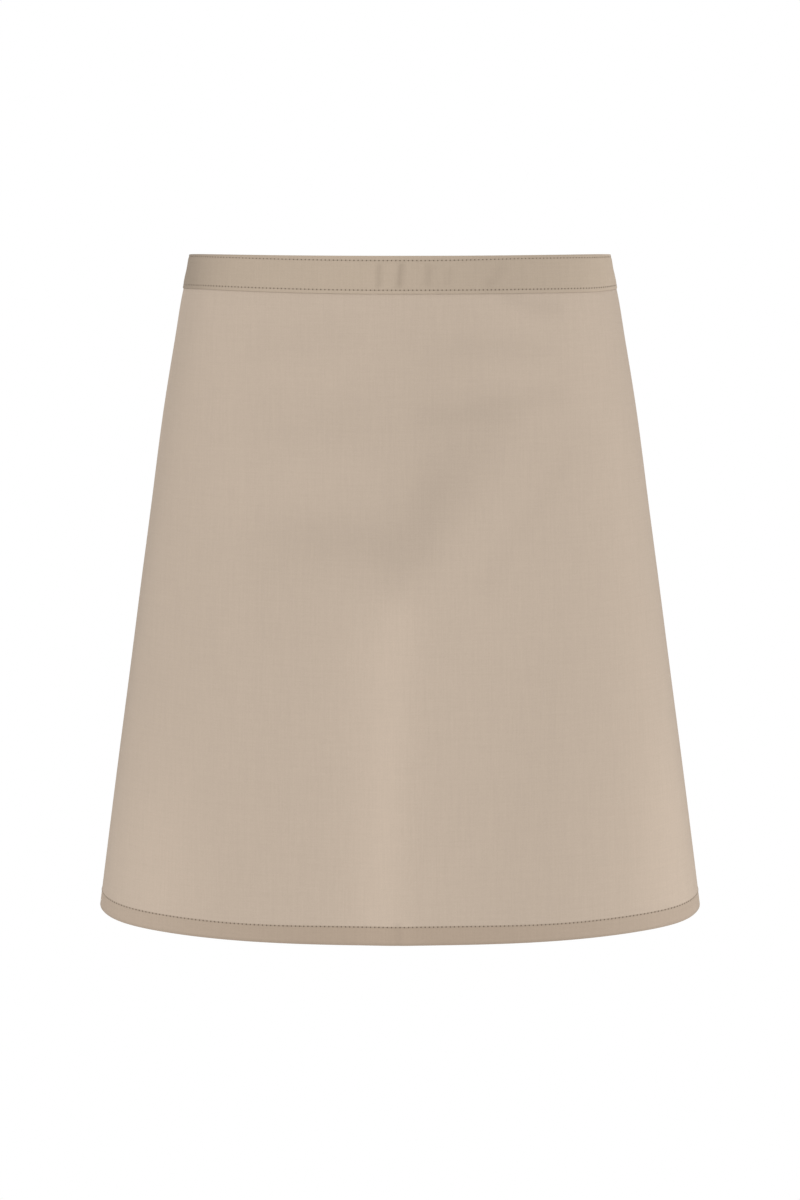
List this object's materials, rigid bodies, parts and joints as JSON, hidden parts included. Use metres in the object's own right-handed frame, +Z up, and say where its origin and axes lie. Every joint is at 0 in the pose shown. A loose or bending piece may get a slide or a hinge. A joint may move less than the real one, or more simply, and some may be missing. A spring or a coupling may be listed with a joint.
{
  "type": "waist apron",
  "caption": "Short woven waist apron in its worn form: flat band, flared panel with a turned bottom edge, tied in a bow at the back.",
  "frame": {"origin": "middle of the waist that the band goes round, half way up the band at its two sides", "axes": "+Z up, out of the waist opening; the front of the apron faces -Y; +X is to the right of someone looking at the front"},
  "size_m": [0.495, 0.2565, 0.5636],
  "materials": {
    "panel_cloth": "plain weave in stone beige, matt, single layer",
    "band_cloth": "the same plain weave, folded double, a shade deeper",
    "hem_cloth": "the same plain weave, turned up, a shade deeper",
    "tie_cloth": "flat tape of the same plain weave"
  },
  "bodies": {
    "root": {"apron_panel": "panel_cloth", "waistband": "band_cloth", "bottom_hem": "hem_cloth", "side_hem_left": "hem_cloth", "side_hem_right": "hem_cloth", "tie_left": "tie_cloth", "tie_right": "tie_cloth", "bow_loop_left": "tie_cloth", "bow_loop_right": "tie_cloth", "tie_end_left": "tie_cloth", "tie_end_right": "tie_cloth", "bow_knot": "tie_cloth"}
  },
  "joints": []
}
